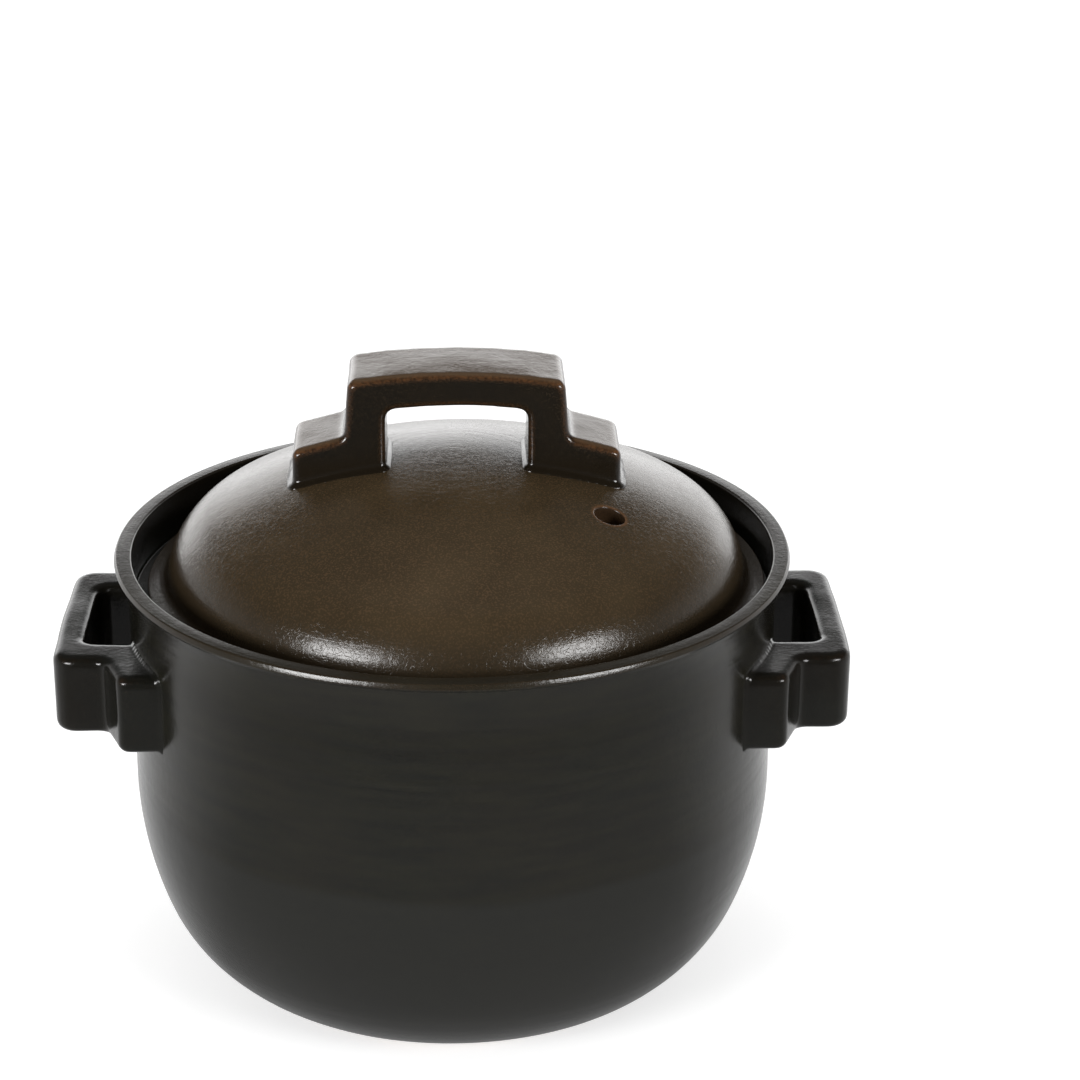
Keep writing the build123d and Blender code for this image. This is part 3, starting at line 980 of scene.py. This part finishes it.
def area_light(name, azimuth, elevation, distance, width, height, radiance, mirrored=True):
    """A soft rectangular lamp that faces the pot; azimuth 0 is the front and 90 the right."""
    light = bpy.data.lights.new(name, "AREA")
    light.shape = "RECTANGLE"
    light.size = width
    light.size_y = height
    light.energy = radiance * pi * width * height
    lamp = bpy.data.objects.new(name, light)
    bpy.context.scene.collection.objects.link(lamp)
    turn = radians(azimuth)
    tilt = radians(elevation)
    toward = Vector((sin(turn) * cos(tilt), -cos(turn) * cos(tilt), sin(tilt)))
    lamp.location = toward * distance + Vector((0, 0, RIM))
    lamp.rotation_mode = "QUATERNION"
    lamp.rotation_quaternion = toward.to_track_quat("Z", "Y")
    lamp.visible_camera = False
    lamp.visible_glossy = mirrored


def make_world():
    """Plain light from all round; reflections see a white horizon behind and a dark room in front."""
    world = bpy.data.worlds.new("studio")
    bpy.context.scene.world = world
    world.use_nodes = True
    tree = world.node_tree
    tree.nodes.clear()
    direction = add(tree, "ShaderNodeTexCoord").outputs["Generated"]
    up = axes_of(tree, direction)["Z"]
    horizon = banded(tree, up, HORIZON_UP_TO, CEILING_FROM, 1.0, CEILING_LEVEL)
    mirrored = maths(tree, "MULTIPLY", horizon, room_light(tree, direction, WORLD_DARK_UNTIL))
    path = tree.nodes.new("ShaderNodeLightPath").outputs
    seen = maths(tree, "MAXIMUM", path["Is Camera Ray"], path["Is Transmission Ray"])
    strength = banded(tree, seen, 0.0, 1.0, WORLD_LEVEL, 1.0)
    gap = maths(tree, "SUBTRACT", mirrored, strength)
    strength = maths(tree, "ADD", strength, maths(tree, "MULTIPLY", gap, path["Is Glossy Ray"]))
    glow = add(tree, "ShaderNodeBackground", None, Color=WHITE, Strength=strength)
    out = tree.nodes.new("ShaderNodeOutputWorld")
    tree.links.new(glow.outputs[0], out.inputs[0])


def make_camera():
    """The view from the front, about 22 degrees up."""
    back = Vector((
        -sin(CAMERA_TURN) * cos(CAMERA_TILT),
        -cos(CAMERA_TURN) * cos(CAMERA_TILT),
        sin(CAMERA_TILT),
    ))
    data = bpy.data.cameras.new("camera")
    data.sensor_width = CAMERA_SENSOR
    data.lens = CAMERA_LENS
    data.clip_start = 0.01
    data.clip_end = 50
    camera = bpy.data.objects.new("camera", data)
    bpy.context.scene.collection.objects.link(camera)
    camera.location = AIM + back * CAMERA_DISTANCE
    camera.rotation_mode = "QUATERNION"
    upright = back.to_track_quat("Z", "Y")
    camera.rotation_quaternion = upright @ Matrix.Rotation(CAMERA_ROLL, 3, "Z").to_quaternion()
    bpy.context.scene.camera = camera


def make_object():
    """The pot, its handles and its lids."""
    pot_skin = pot_glaze()
    grip_skin = side_handle_glaze()
    inner_skin = inner_glaze()
    make_pot(pot_skin)
    make_side_handle(-1, "side_handle_l", "side_handle_left", grip_skin)
    make_side_handle(1, "side_handle_r", "side_handle_right", grip_skin)
    make_lid(lid_glaze())
    make_lid_handle(handle_glaze())
    make_inner_lid(inner_skin)
    make_knob(inner_skin)


make_camera()
make_world()
for name, settings in LAMPS.items():
    area_light(name, **settings)
make_floor()
make_object()
bpy.context.scene.view_settings.view_transform = "Standard"
